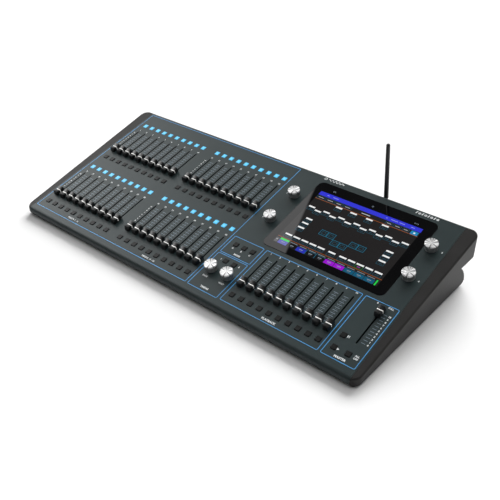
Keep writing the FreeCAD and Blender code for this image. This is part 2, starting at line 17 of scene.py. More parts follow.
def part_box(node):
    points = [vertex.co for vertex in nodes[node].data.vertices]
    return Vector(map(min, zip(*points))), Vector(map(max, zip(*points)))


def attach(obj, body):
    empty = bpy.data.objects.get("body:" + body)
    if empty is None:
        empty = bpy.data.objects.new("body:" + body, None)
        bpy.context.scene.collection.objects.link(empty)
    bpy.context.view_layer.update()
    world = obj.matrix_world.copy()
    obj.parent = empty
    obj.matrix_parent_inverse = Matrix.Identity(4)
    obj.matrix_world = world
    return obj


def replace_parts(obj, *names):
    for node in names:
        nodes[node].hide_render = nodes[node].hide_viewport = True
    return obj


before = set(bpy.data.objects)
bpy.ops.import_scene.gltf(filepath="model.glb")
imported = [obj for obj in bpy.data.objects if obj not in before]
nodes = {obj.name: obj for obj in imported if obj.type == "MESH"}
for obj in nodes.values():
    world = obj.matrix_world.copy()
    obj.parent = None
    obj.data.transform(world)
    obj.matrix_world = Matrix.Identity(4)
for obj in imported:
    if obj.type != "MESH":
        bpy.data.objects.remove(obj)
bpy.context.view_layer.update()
scene = bpy.context.scene

# %% [markdown]
# ## The deck's own ruler
# Every control sits on one tilted plate, so it is easiest to draw them flat, in millimetres: x to the
# right, y up the slope from the front edge, z square to the plate. One function then tilts the points
# and puts them in the desk's frame, in metres. Tilting points rather than objects keeps every finished
# object unturned at the origin, which patterns on Object coordinates rely on.

# %% Measures of the deck, in millimetres, and the function that lays points on it
MM = 0.001
DECK_TILT = math.radians(13.4)
DECK_FRONT = (0.0, -199.4, 18.7)
PITCH = 20.0
BANK_STEP = 167.6
PRESET_X = (-373.4, -153.0)
PLAYBACK_X = 132.3
MASTER_X = 367.1
BANKS, BANK_FADERS = 4, 10
FADER_LOW = 69.5
FADER_TRAVEL = 66.0
LIGHT_Y = 167.2
KNOBS = ((74.5, 304.0), (74.5, 226.0), (367.5, 304.0), (367.5, 226.0), (61.3, 68.0), (99.3, 68.0))
GLASS = (97.5, 353.5, 166.0, 364.0)
GLASS_TOP = 0.6


def laid(points):
    """Deck points (x, y, z) in mm, tilted about the front edge and moved there, in metres."""
    x, y, z = np.moveaxis(np.asarray(points, float), -1, 0)
    up, along = math.sin(DECK_TILT), math.cos(DECK_TILT)
    turned = np.stack([x, y * along - z * up, y * up + z * along], -1)
    return (turned + DECK_FRONT) * MM


glass_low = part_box("screen_glass")[0]
glass_laid = laid((0, GLASS[2], GLASS_TOP))
print("glass front edge, measured and laid:", round(glass_low.y, 4), glass_laid[1].round(4))

# %% [markdown]
# ## The camera
# A long-ish lens from the front right corner, looking down at about 34 degrees, keeps the far end of
# the desk from shrinking too much. The camera's axes are written as the columns of a matrix, which is
# shorter and more exact than angles.

# %% Camera
CAMERA_PLACE = (0.7516, -0.8681, 0.7636)
CAMERA_RIGHT = (0.77374, 0.63350, 0.0)
CAMERA_UP = (-0.35763, 0.43697, 0.82533)
CAMERA_BACK = (0.52291, -0.63854, 0.56466)
LENS, SENSOR = 49.82, 36.0

camera_data = bpy.data.cameras.new("camera")
camera_data.lens = LENS
camera_data.sensor_width = SENSOR
camera = bpy.data.objects.new("camera", camera_data)
axes = np.eye(4)
axes[:3] = np.stack([CAMERA_RIGHT, CAMERA_UP, CAMERA_BACK, CAMERA_PLACE], -1)
camera.matrix_world = Matrix(axes.tolist())
scene.collection.objects.link(camera)
scene.camera = camera
print("camera looks down by", round(math.degrees(math.asin(CAMERA_BACK[2])), 1), "degrees")

# %% [markdown]
# ## One helper for nodes, one for colours
# A material is a small graph. `add` makes one node, sets what it is given, and links whatever is a
# socket. Colours are written as the hex values a designer would pick on screen, and `linear` undoes
# the screen's gamma, because the renderer adds light in linear numbers.

# %% Node and colour helpers
scene.view_settings.view_transform = "Standard"


def linear(code):
    """sRGB hex to linear RGBA: the low end is divided by 12.92, the rest is a power of 2.4."""
    value = np.array([int(code[i:i + 2], 16) for i in (1, 3, 5)]) / 255
    low, high = value / 12.92, ((value + 0.055) / 1.055) ** 2.4
    return (*np.where(value <= 0.04045, low, high).tolist(), 1.0)


def add(tree, kind, inputs=None, **settings):
    """One node of a kind, with its settings; an input given a socket is linked, any other is set."""
    node = tree.nodes.new(kind)
    for key, value in settings.items():
        setattr(node, key, value)
    for key, value in (inputs or {}).items():
        if isinstance(value, bpy.types.NodeSocket):
            tree.links.new(value, node.inputs[key])
        else:
            node.inputs[key].default_value = value
    return node


# %% [markdown]
# ## Studio
# The desk stands on a seamless white floor. Two very wide lamps light it: one behind, which draws a
# soft shadow towards the viewer, and one overhead that fills it. They are soft boxes too large to
# be seen as highlights, so only the room is mirrored in the gloss. The room is white, with a bright
# window low on the left, and one dark patch of "flag" above, where black cloth is hung so that a
# screen shows its picture and not the ceiling. The patch stops short on the left, so a sliver of
# white room is mirrored in the left edge of the glass.

# %% Floor and lamps
def board(name, corners, material):
    """A flat four-cornered board that belongs to the studio."""
    mesh = bpy.data.meshes.new(name)
    mesh.from_pydata(corners, [], [(0, 1, 2, 3)])
    mesh.materials.append(material)
    made = bpy.data.objects.new(name, mesh)
    scene.collection.objects.link(made)
    return made


def wide_lamp(name, place, energy, angle):
    """A sun in the direction of a place, as wide as an angle in degrees; it lights matt surfaces only."""
    lamp = bpy.data.lights.new(name, "SUN")
    lamp.energy, lamp.angle = energy, math.radians(angle)
    made = bpy.data.objects.new(name, lamp)
    made.matrix_world = Vector(place).to_track_quat("Z", "Y").to_matrix().to_4x4()
    made.visible_glossy = made.visible_transmission = False
    scene.collection.objects.link(made)


FLOOR_WHITE = 0.82
floor_paint = bpy.data.materials.new("studio_floor_matt_white_paint")
floor_paint.use_nodes = True
shader = floor_paint.node_tree.nodes["Principled BSDF"]
shader.inputs["Base Color"].default_value = (FLOOR_WHITE, FLOOR_WHITE, FLOOR_WHITE, 1)
shader.inputs["Roughness"].default_value = 1.0
shader.inputs["Specular IOR Level"].default_value = 0.0
FLOOR = 6.0
board("studio_floor", [(-FLOOR, -FLOOR, 0), (FLOOR, -FLOOR, 0), (FLOOR, FLOOR, 0), (-FLOOR, FLOOR, 0)],
      floor_paint)
wide_lamp("key_behind", place=(-0.23, 0.84, 0.45), energy=5.7, angle=50)
wide_lamp("fill_overhead", place=(-0.05, 0.16, 1.0), energy=1.7, angle=110)

# %% [markdown]
# ## What the gloss mirrors
# The room itself is the world: a brightness for every direction. Each bright or dark part is a round
# spot about a direction. The cosine between a ray and that direction is a dot product, and a range
# of cosines gives the spot a soft or a sharp edge. The flag is a wide spot cut by an upright edge.

# %% The room round the desk
FLAG_MIDDLE = Vector((-0.40, 0.42, 0.81)).normalized()
FLAG_EDGE = Vector((0.8768, 0.1873, 0.4429)).normalized()
WINDOW_MIDDLE = Vector((-0.842, 0.061, 0.536)).normalized()
SLIVER_MIDDLE = Vector((-0.50, 0.39, 0.775)).normalized()
FLAG_RANGE, EDGE_RANGE = (0.684, 0.905), (-0.0015, 0.0015)
WINDOW_RANGE, SLIVER_RANGE = (0.90, 0.971), (0.980, 0.988)
ROOM, WINDOW, CLOTH, SLIVER = 0.48, 4.8, 0.045, 1.55
FRONT_START, FRONT_END, FRONT_SHARE = 0.1, -0.4, 0.1

world = bpy.data.worlds.new("studio_room")
world.use_nodes = True
world.cycles_visibility.diffuse = False
tree = world.node_tree
background = tree.nodes["Background"]
ray = add(tree, "ShaderNodeTexCoord").outputs["Generated"]


def spot(direction, low, high):
    """Rises from 0 to 1 as the cosine between the ray and a direction goes from low to high."""
    cosine = add(tree, "ShaderNodeVectorMath", {0: ray, 1: direction}, operation="DOT_PRODUCT")
    return add(tree, "ShaderNodeMapRange", {0: cosine.outputs["Value"], 1: low, 2: high}).outputs[0]


parts = add(tree, "ShaderNodeSeparateXYZ", {0: ray})
forward = add(tree, "ShaderNodeMapRange", {0: parts.outputs[1], 1: FRONT_START, 2: FRONT_END,
                                           3: ROOM, 4: FRONT_SHARE * ROOM})
lit = add(tree, "ShaderNodeMapRange", {0: spot(WINDOW_MIDDLE, *WINDOW_RANGE), 3: forward.outputs[0],
                                       4: WINDOW})
carded = add(tree, "ShaderNodeMapRange", {0: spot(SLIVER_MIDDLE, *SLIVER_RANGE), 3: lit.outputs[0],
                                          4: SLIVER})
flag = add(tree, "ShaderNodeMath", {0: spot(FLAG_MIDDLE, *FLAG_RANGE), 1: spot(FLAG_EDGE, *EDGE_RANGE)},
           operation="MULTIPLY")
shade = add(tree, "ShaderNodeMapRange", {0: flag.outputs[0], 3: carded.outputs[0], 4: CLOTH})
tree.links.new(shade.outputs[0], background.inputs["Strength"])
background.inputs["Color"].default_value = (1, 1, 1, 1)
scene.world = world
print("studio:", len(tree.nodes), "world nodes")

# %% [markdown]
# ## Finishes
# Nearly every surface here is a paint or a moulded plastic. Both have a fine relief from how they were
# made, powder that melted into tiny hills or a mould that was spark-eroded, and a gloss that drifts a
# little from place to place. `grained` builds that: one noise at the grain's real size moves the
# surface and its gloss, and a wide, faint one shifts the colour.

# %% The grained finish
WIDE_SHARE, FINE_SHARE = 0.7, 0.3


def grained(name, dark, light, rough, grain, relief, patch=60.0, spread=0.06, metallic=0.0, gleam=0.5):
    """Finish whose colour drifts between two hex values over patches of some mm.

    The grain is a noise of that size in mm. Its height times the relief in mm moves the surface, and
    the same height moves the roughness by plus or minus the spread. The gleam is the strength of the
    clear reflection, 0.5 being that of a plain plastic.
    """
    made = bpy.data.materials.new(name)
    made.use_nodes = True
    tree = made.node_tree
    shader = tree.nodes["Principled BSDF"]
    here = add(tree, "ShaderNodeTexCoord").outputs["Object"]
    fine = add(tree, "ShaderNodeTexNoise", {"Vector": here, "Scale": 1 / (grain * MM), "Detail": 2.0})
    wide = add(tree, "ShaderNodeTexNoise", {"Vector": here, "Scale": 1 / (patch * MM), "Detail": 3.0})
    both = add(tree, "ShaderNodeMath", {0: wide.outputs[0], 1: WIDE_SHARE}, operation="MULTIPLY")
    speck = add(tree, "ShaderNodeMath", {0: fine.outputs[0], 1: FINE_SHARE, 2: both.outputs[0]},
                operation="MULTIPLY_ADD")
    colour = add(tree, "ShaderNodeMapRange", {0: speck.outputs[0], 1: 0.3, 2: 0.7})
    blend = add(tree, "ShaderNodeMix", {"Factor": colour.outputs[0], 6: linear(dark), 7: linear(light)},
                data_type="RGBA")
    gloss = add(tree, "ShaderNodeMapRange", {0: fine.outputs[0], 1: 0.25, 2: 0.75,
                                             3: rough - spread, 4: rough + spread})
    bump = add(tree, "ShaderNodeBump", {"Height": fine.outputs[0], "Distance": relief * MM, "Strength": 1.0})
    tree.links.new(blend.outputs[2], shader.inputs["Base Color"])
    tree.links.new(gloss.outputs[0], shader.inputs["Roughness"])
    tree.links.new(bump.outputs[0], shader.inputs["Normal"])
    shader.inputs["Metallic"].default_value = metallic
    shader.inputs["Specular IOR Level"].default_value = gleam
    return made


# %% [markdown]
# ## Paint of the case
# Powder coat is sprayed dry and melted on, so it dries with an orange-peel relief a millimetre or so
# wide and a soft satin sheen. The grain is drawn at 1.8 mm, a little coarser than the real 0.8 mm, so
# that it still shows from a metre away.

# %% Powder-coated steel and the cheeks
# The deck's coat is a satin slate with a faint green in it, dull enough to keep reflections soft.
deck_paint = grained("deck_slate_powder_coated_steel", "#232d2e", "#293334", 0.42, 1.8, 0.02, 90.0, 0.05,
                     gleam=0.32)
# The tray and the rear wall have a rougher, blacker coat, so the case falls back behind the deck.
case_paint = grained("case_black_powder_coated_steel", "#1a1f20", "#212627", 0.5, 1.8, 0.03, 80.0)
# A spark-eroded mould gives the cheeks a fine even grain: matt, and a shade warmer than the steel.
cheek_abs = grained("cheek_spark_textured_moulded_abs", "#222120", "#282727", 0.5, 0.9, 0.03, 50.0,
                    gleam=0.2)

# %% [markdown]
# ## Plastics and rubbers of the controls
# Fader caps and buttons are moulded in black ABS and silicone rubber. The caps are satin from
# handling, and the rubber is a little duller. Both are near black, and tell themselves from the deck
# by their edges.

# %% Small mouldings
# Fingers polish the caps, so each carries a small soft highlight in its saddle.
cap_abs = grained("fader_cap_satin_moulded_abs", "#0c0d0e", "#131415", 0.34, 0.7, 0.01, 12.0)
# The line across a cap is hot-stamped foil, brighter than paint, and a faint glow of its own is painted light
# that keeps it bright even where the cap's flanks are in shade.
cap_line = grained("fader_cap_line_white_hot_foil_painted_glow", "#e6e6e2", "#f8f8f5", 0.4, 0.5, 0.005, 5.0)
line_glow_shader = cap_line.node_tree.nodes["Principled BSDF"]
line_glow_shader.inputs["Emission Color"].default_value = linear("#f4f4f0")
line_glow_shader.inputs["Emission Strength"].default_value = 0.22
# Silicone rubber drinks the light, and only its rounded edges show a pale rim.
button_rubber = grained("button_moulded_silicone_rubber", "#0b0c0c", "#131414", 0.46, 0.6, 0.02, 8.0,
                        gleam=0.24)
# Glass fibres near the surface give the nylon of the sockets a greyish bloom.
socket_nylon = grained("socket_body_black_glass_filled_nylon", "#0f1011", "#18191a", 0.42, 0.8, 0.02, 15.0)
# The rocker comes from a polished mould: a deep, glossy red, the one strong colour at the back.
rocker_nylon = grained("rocker_red_moulded_nylon", "#8c1410", "#a31c15", 0.3, 0.7, 0.01, 6.0)
# A soft moulded sleeve shows one dull streak of light along the rod.
antenna_skin = grained("antenna_black_moulded_tpe_rubber", "#0b0b0c", "#151515", 0.36, 0.8, 0.01, 30.0)
# The feet are the dullest part, with no highlight at all.
foot_rubber = grained("foot_black_moulded_neoprene", "#121212", "#1c1c1c", 0.75, 0.8, 0.04, 10.0)

# %% Metals and boards inside
# Nickel over die-cast zinc is pale and a little cloudy, and tin over steel is whiter and clearer.
zinc_shell = grained("socket_shell_nickel_plated_zinc", "#8f9192", "#b9bbbc", 0.3, 1.2, 0.01, 10.0, 0.08, 1.0)
bright_tin = grained("jack_shell_tin_plated_steel", "#a3a5a6", "#c6c8c9", 0.26, 1.5, 0.01, 12.0, 0.08, 1.0)
# A gold flash turns every small highlight warm.
gold_flash = grained("antenna_thread_gold_plated_brass", "#b08a3c", "#d9b65e", 0.25, 0.8, 0.01, 5.0,
                     0.06, 1.0)
# Galvanised sheet shows its zinc crystals as patches a few millimetres wide.
zinc_sheet = grained("bracket_galvanised_steel_sheet", "#7d8386", "#a4aaad", 0.42, 3.0, 0.02, 14.0, 0.1, 1.0)
# Black zinc plate is nearly black with a cool metallic glint, which marks the screw heads.
black_zinc = grained("screw_black_zinc_plated_steel", "#1b1c1f", "#2e3034", 0.35, 0.6, 0.01, 6.0, 0.06, 1.0)
# Solder mask is a glossy green lacquer, lighter where copper lies under it.
solder_mask = grained("board_green_solder_masked_laminate", "#0d3a22", "#155232", 0.35, 1.3, 0.02, 9.0)

# %% [markdown]
# ## Inks
# The deck's lines and figures are silk-screened. Ink lies on top of the paint as a film a few
# hundredths of a millimetre thick, slightly glossier than the powder coat below it.

# %% Inks
# Each ink is one dense tone that stays even from any side, so thin lines read as lines.
blue_ink = grained("print_blue_screen_ink", "#3d90cf", "#449fe0", 0.4, 0.8, 0.004, 30.0)
white_ink = grained("print_white_screen_ink", "#d5d9da", "#e8ebec", 0.4, 0.8, 0.004, 20.0)
grey_ink = grained("print_slate_grey_screen_ink", "#6c7a86", "#788692", 0.45, 0.8, 0.004, 20.0)
print("materials so far:", len(bpy.data.materials))

# %% [markdown]
# ## Finishes for the frame's nodes
# Each node of the frame keeps its mesh. Its object's slots are pointed at a new finish, which leaves
# the mesh itself untouched.

# %% Hand the finishes out
NODE_FINISH = {
    "top_panel": deck_paint, "rear_panel": case_paint, "base_tray": case_paint,
    "left_cheek": cheek_abs, "right_cheek": cheek_abs,
    "display_frame": zinc_sheet, "fader_bodies": black_zinc, "button_switches": socket_nylon,
    "encoder_bodies": zinc_sheet, "control_boards": solder_mask, "main_board": solder_mask,
    "power_supply": zinc_sheet, "power_inlet": socket_nylon, "rocker_frame": socket_nylon,
    "power_rocker": rocker_nylon, "dmx_sockets": zinc_shell, "network_sockets": bright_tin,
    "usb_and_video_sockets": bright_tin, "antenna_socket": gold_flash, "antenna_knuckle": antenna_skin,
    "antenna_whip": antenna_skin, "rubber_feet": foot_rubber, "case_screws": black_zinc,
    "display_module": socket_nylon,
}
for name in nodes:
    if "button" in name and name not in NODE_FINISH:
        NODE_FINISH[name] = button_rubber


def dress(node, finish):
    """Point every material slot of a frame node's object at one finish."""
    held = nodes[node]
    if not held.material_slots:
        held.data.materials.append(finish)
    for place in held.material_slots:
        place.link = "OBJECT"
        place.material = finish


for name, finish in NODE_FINISH.items():
    dress(name, finish)
print("nodes with a finish:", len(NODE_FINISH))

# %% [markdown]
# ## Turning arrays into pieces
# A surface is a grid of points: rows along one parameter, columns along the other. `quads` numbers the
# faces between them, closing the grid on itself where it should, and `piece` makes the object and sets
# it to ride on its body.

# %% Grid and piece helpers
def quads(rows, columns, round_rows=False, round_columns=False):
    """Corner numbers of the four-sided faces between neighbouring points of a grid."""
    i, j = np.meshgrid(np.arange(rows if round_rows else rows - 1),
                       np.arange(columns if round_columns else columns - 1), indexing="ij")
    k, l = (i + 1) % rows, (j + 1) % columns
    return np.stack([i * columns + j, i * columns + l, k * columns + l, k * columns + j], -1).reshape(-1, 4)


def piece(name, points, faces, body, materials, picks=None, smooth=False):
    """A mesh object from points in metres and faces; picks gives each face's material number."""
    mesh = bpy.data.meshes.new(name)
    mesh.from_pydata(np.asarray(points).reshape(-1, 3).tolist(), [], [list(map(int, f)) for f in faces])
    for material in materials:
        mesh.materials.append(material)
    if picks is not None:
        mesh.polygons.foreach_set("material_index", np.asarray(picks, np.int32))
    mesh.polygons.foreach_set("use_smooth", np.full(len(mesh.polygons), smooth))
    mesh.update()
    made = bpy.data.objects.new(name, mesh)
    scene.collection.objects.link(made)
    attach(made, body)
    print(f"{name}: {len(mesh.polygons)} faces on {body}")
    return made


# %% [markdown]
# ## Printed lines
# The groups of controls are framed by thin blue lines with rounded corners. A frame is a two-parameter
# surface: once round the loop, and from its outer to its inner edge. It could be a texture, but a
# real film of ink keeps crisp edges at any distance and in every export.

# %% Rounded frames, bars and the film they lie in
INK = 0.05
FILM = 0.04


def rounded_loop(x0, x1, y0, y1, radius, steps=6):
    """Points round a rectangle whose corners are quarter circles of the radius, anticlockwise."""
    turn = np.linspace(0, np.pi / 2, steps)
    angle = (turn[None] + np.arange(4)[:, None] * np.pi / 2).ravel()
    middle = np.repeat([(x1 - radius, y1 - radius), (x0 + radius, y1 - radius),
                        (x0 + radius, y0 + radius), (x1 - radius, y0 + radius)], steps, 0)
    return middle + radius * np.stack([np.cos(angle), np.sin(angle)], -1)


def printed_frame(x0, x1, y0, y1, width, radius, height=INK):
    """Ring between two rounded loops a line width apart."""
    outer = rounded_loop(x0, x1, y0, y1, radius)
    inner = rounded_loop(x0 + width, x1 - width, y0 + width, y1 - width, max(radius - width, 0.2))
    flat = np.concatenate([inner, outer])
    return np.column_stack([flat, np.full(len(flat), height)]), quads(2, len(outer), False, True)[:, ::-1]


def printed_bars(bars, height=INK):
    """Flat rectangles, each given as middle x, middle y, width, length and slant."""
    x, y, width, length, slant = np.asarray(bars, float).T
    corner_x = x[:, None] + width[:, None] / 2 * [-1, 1, 1, -1] + slant[:, None] / 2 * [-1, -1, 1, 1]
    corner_y = y[:, None] + length[:, None] / 2 * [-1, -1, 1, 1]
    points = np.stack([corner_x, corner_y, np.full_like(corner_x, height)], -1)
    return points.reshape(-1, 3), np.arange(4 * len(x)).reshape(-1, 4)


def together(parts):
    """Several (points, faces) joined in one; faces may have different numbers of corners."""
    points = np.concatenate([p for p, _ in parts])
    starts = np.cumsum([0] + [len(p) for p, _ in parts])
    faces = [list(np.asarray(f) + s) for (_, group), s in zip(parts, starts) for f in group]
    return points, faces


def film(made):
    """Give a printed sheet its thickness, downwards into the paint."""
    thick = made.modifiers.new("ink film", "SOLIDIFY")
    thick.thickness = FILM * MM
    thick.offset = -1.0
    return made


# %% The blue outlines
OUTLINES = {
    "presets": (-389.8, 39.3, 19.3, 375.6),
    "playback": (119.8, 323.0, 20.3, 156.4),
    "master": (328.2, 391.7, 20.3, 156.4),
    "mode": (44.5, 114.3, 110.5, 156.5),
    "timing": (44.5, 113.8, 18.7, 108.0),
}
OUTLINE_WIDTH, OUTLINE_CORNER = 1.1, 2.6
rings = [printed_frame(*sides, OUTLINE_WIDTH, OUTLINE_CORNER) for sides in OUTLINES.values()]
points, faces = together(rings)
film(piece("printed_blue_outlines", laid(points), faces, "desk", [blue_ink]))

# %% [markdown]
# ## Scales between the faders
# Between neighbouring faders runs a ladder of eleven grey rungs, one per tenth of the travel, with
# short rungs halfway.

# %% Ladders
SCALE_Y = FADER_LOW + FADER_TRAVEL / 10 * np.arange(11)
HALF_Y = (SCALE_Y[1:] + SCALE_Y[:-1]) / 2
RUNG, HALF_RUNG, MASTER_RUNG = (9.2, 1.0), (4.4, 0.4), (7.4, 0.8)
MASTER_RUNG_SHIFT = 9.6
rungs = []
firsts = [(x, shift) for shift in (BANK_STEP, 0.0) for x in PRESET_X] + [(PLAYBACK_X, 0.0)]
for first, shift in firsts:
    for gap in range(BANK_FADERS - 1):
        x = first + PITCH * (gap + 0.5)
        rungs += [(x, y + shift, *RUNG, 0) for y in SCALE_Y]
        rungs += [(x, y + shift, *HALF_RUNG, 0) for y in HALF_Y]
rungs += [(MASTER_X + MASTER_RUNG_SHIFT, y, *MASTER_RUNG, 0) for y in SCALE_Y]
points, faces = printed_bars(rungs)
film(piece("printed_grey_ladders", laid(points), faces, "desk", [grey_ink]))

# %% [markdown]
# ## Figures and words
# Numbers beside each fader and short function words under each group are type. Blender sets type as
# curves; each string is turned to a flat mesh first and only then moved into place, so that the
# finished object can stay unturned at the origin.

# %% Type
type_cache = {}


def type_shape(text, bold):
    """Flat mesh of a string, one unit high, centred: its points and faces."""
    if (text, bold) not in type_cache:
        curve = bpy.data.curves.new("type", "FONT")
        curve.body, curve.size, curve.offset, curve.resolution_u = text, 1.0, bold, 2
        curve.align_x, curve.align_y = "CENTER", "CENTER"
        holder = bpy.data.objects.new("type", curve)
        flat = bpy.data.meshes.new_from_object(holder)
        points = np.zeros(len(flat.vertices) * 3)
        flat.vertices.foreach_get("co", points)
        type_cache[text, bold] = points.reshape(-1, 3), [list(p.vertices) for p in flat.polygons]
        bpy.data.objects.remove(holder)
        bpy.data.meshes.remove(flat)
        bpy.data.curves.remove(curve)
    return type_cache[text, bold]


def typed(strings):
    """Strings given as text, x, y, size in mm and boldness, set on the deck."""
    parts = []
    for text, x, y, size, bold in strings:
        points, faces = type_shape(text, bold)
        parts.append((points * (size, size, 0) + (x, y, INK), faces))
    return together(parts)


# %% Figures and words on the deck
PRESET_NUMBER_Y, PLAYBACK_NUMBER_Y = 149.3, 152.4
SCALE_SHIFT, MASTER_SCALE_SHIFT = -7.6, 17.6
strings = []
for bank, (first, shift) in enumerate(firsts):
    preset = bank < BANKS
    number_y = PRESET_NUMBER_Y + shift if preset else PLAYBACK_NUMBER_Y
    start = BANK_FADERS * bank + 1 if preset else 1
    for i in range(BANK_FADERS):
        strings.append((str(start + i), first + PITCH * i, number_y, 4.8, 0.03))
    if preset:
        strings += [(str(n), first + SCALE_SHIFT, y + shift, 4.2, 0.035) for n, y in enumerate(SCALE_Y)]
strings += [(str(n), MASTER_X + MASTER_SCALE_SHIFT, y, 4.6, 0.05) for n, y in enumerate(SCALE_Y)]
strings += [
    ("PRESETS  1 - 10", -279.0, 26.3, 4.6, 0.03), ("PRESETS  11 - 20", -62.0, 26.3, 4.6, 0.03),
    ("PLAYBACK", 221.5, 26.5, 5.8, 0.04), ("MASTER", 361.0, 26.5, 5.8, 0.04),
    ("MODE", 79.6, 117.2, 5.0, 0.04), ("TIMING", 79.3, 26.5, 5.4, 0.04),
    ("A", 60.8, 128.4, 4.6, 0.04), ("B", 80.4, 128.4, 4.6, 0.04), ("C", 100.0, 128.4, 4.6, 0.04),
    ("1", 60.0, 96.0, 4.6, 0.04), ("2", 102.0, 96.0, 4.6, 0.04),
    ("FADE", 61.3, 49.0, 4.6, 0.04), ("WAIT", 99.3, 49.0, 4.6, 0.04),
    ("0", 353.0, 151.8, 4.6, 0.04), ("FULL", 378.0, 151.8, 4.6, 0.04),
    ("ALL", 382.6, 43.2, 4.6, 0.04), ("OFF", 382.6, 37.8, 4.6, 0.04),
    ("1", 57.6, 302.6, 5.0, 0.04), ("2", 57.6, 224.6, 5.0, 0.04), ("3", 387.7, 303.9, 5.0, 0.04),
    ("4", 386.1, 226.3, 5.0, 0.04),
]
points, faces = typed(strings)
film(piece("printed_white_figures", laid(points), faces, "desk", [white_ink]))

# %% [markdown]
# ## Signs
# Pause and play signs are bars and a triangle. Two plain ornaments fill the rear corners of the deck:
# a ring and a wave on the left, and four slanted bars, each with a ring, on the right. All are flat
# shapes in the same white ink as the figures.

# %% Signs and ornaments
def wave_ribbon(x0, x1, y, swing, turns, width):
    """A sine wave as a ribbon: points follow the wave, and step half the width to each side.

    The swing fades to nothing at both ends, with the square root of half a sine.
    """
    t = np.linspace(0, 1, 60)
    rise = swing * np.sin(2 * np.pi * turns * t) * np.sin(np.pi * t) ** 0.5
    path = np.stack([x0 + (x1 - x0) * t, y + rise], -1)
    run = np.gradient(path, axis=0)
    across = np.stack([run[:, 1], -run[:, 0]], -1) / np.linalg.norm(run, axis=1)[:, None]
    both = np.concatenate([path - across * width / 2, path + across * width / 2])
    return np.column_stack([both, np.full(len(both), INK)]), quads(2, len(t))[:, ::-1]


PAUSE = [(349.2, 68.8, 1.3, 4.6, 0), (351.8, 68.8, 1.3, 4.6, 0)]
PLAY = [(347.8, 37.3, INK), (351.8, 39.5, INK), (347.8, 41.7, INK)]
ORNAMENT_STEP = 12.0
signs = [printed_bars(PAUSE), (np.array(PLAY), [(0, 1, 2)]),
         printed_frame(97.6, 104.0, 371.6, 378.0, 1.2, 3.19), wave_ribbon(107.5, 144.0, 375.0, 3.0, 5.0, 1.2)]
for shift in ORNAMENT_STEP * np.arange(4):
    signs.append(printed_bars([(301.0 + shift, 374.4, 2.0, 6.2, 1.6)]))
    signs.append(printed_frame(304.6 + shift, 309.6 + shift, 371.4, 376.4, 1.4, 2.49))
points, faces = together(signs)
film(piece("printed_white_signs", laid(points), faces, "desk", [white_ink]))

# %% [markdown]
# ## Fader caps
# A cap is a small saddle for a fingertip: two raised ends and a hollow between them, with a white line
# across the lowest point. It is a profile carried along a path: the closed outline seen from the side
# is repeated at six stations across the cap, shrunk a little at the outer ones to round its flanks.

# %% Outline of a fader cap
CAP_HALF_LENGTH = 10.5
CAP_HALF_WIDTH = 5.6
CAP_LOW, CAP_TOP, CAP_DIP = 1.2, 10.4, 2.2
RIM, RIM_ROUND = 1.6, 0.5
SLOPE_STEPS, BELL_POWER = 13, 1.4
RIDGE, RIDGE_FROM_LINE, RIDGE_FROM_RIM = 0.13, 0.5, 1.2
LINE_HALF = 0.75


def cap_outline():
    """Side outline as (y, z): flat foot, sloped ends, rounded rims, and a saddle between them.

    The saddle's height is the top less the dip times a bell. The bell is one minus the squared share
    of the way to the rim, to a power. Fine ridges run over its two slopes. The outline's first points
    are its front end's, and their number comes back with it.
    """
    reach = CAP_HALF_LENGTH - RIM
    slope = np.linspace(LINE_HALF, reach - RIM_ROUND, SLOPE_STEPS)
    y = np.concatenate([-slope[::-1], slope])
    bell = (1 - (y / reach) ** 2) ** BELL_POWER
    ridged = (np.abs(y) > LINE_HALF + RIDGE_FROM_LINE) & (np.abs(y) < reach - RIDGE_FROM_RIM)
    ridge = RIDGE * (np.arange(len(y)) % 2) * ridged
    saddle = np.stack([y, CAP_TOP - CAP_DIP * bell + ridge], -1)
    front = [(-CAP_HALF_LENGTH, CAP_LOW), (-reach - 0.25, CAP_TOP - 1.4), (-reach + 0.05, CAP_TOP - 0.45)]
    back = [(-a, b) for a, b in front[::-1]]
    return np.concatenate([front, saddle, back]), len(front)


# %% The cap's body
FLANK_STEP = np.array([0.0, 0.12, 0.4])
FLANK_INSET = np.array([0.4, 0.12, 0.0])


def swept_cap():
    """Points, faces and material numbers of one cap, centred on its fader.

    Each station is the outline, moved inwards along its own normals by that station's inset.
    """
    outline, front_points = cap_outline()
    run = np.roll(outline, -1, 0) - np.roll(outline, 1, 0)
    inward = np.stack([run[:, 1], -run[:, 0]], -1) / np.linalg.norm(run, axis=1)[:, None]
    near = FLANK_STEP - CAP_HALF_WIDTH
    stations = np.concatenate([near, -near[::-1]])
    inset = np.concatenate([FLANK_INSET, FLANK_INSET[::-1]])
    ring = outline[None] + inward[None] * inset[:, None, None]
    ring[..., 1] = np.maximum(ring[..., 1], CAP_LOW)
    across = np.broadcast_to(stations[:, None], ring.shape[:2])
    points = np.concatenate([across[..., None], ring], -1).reshape(-1, 3)
    count = len(outline)
    faces = quads(len(stations), count, False, True)
    line_from = front_points + SLOPE_STEPS - 1
    on_line = (faces[:, 0] % count == line_from) & (faces[:, 1] % count == line_from + 1)
    lids = [list(range(count))[::-1], list(range(len(points) - count, len(points)))]
    return points, faces.tolist() + lids, on_line.astype(int).tolist() + [0, 0]


# %% The cap's line and stem
def box_points(x_sides, y_half, low, high):
    """The eight corners of a block: four at each x, going round from low to high."""
    return np.array([(x, y, z) for x in x_sides for y, z in
                     ((-y_half, low), (y_half, low), (y_half, high), (-y_half, high))])


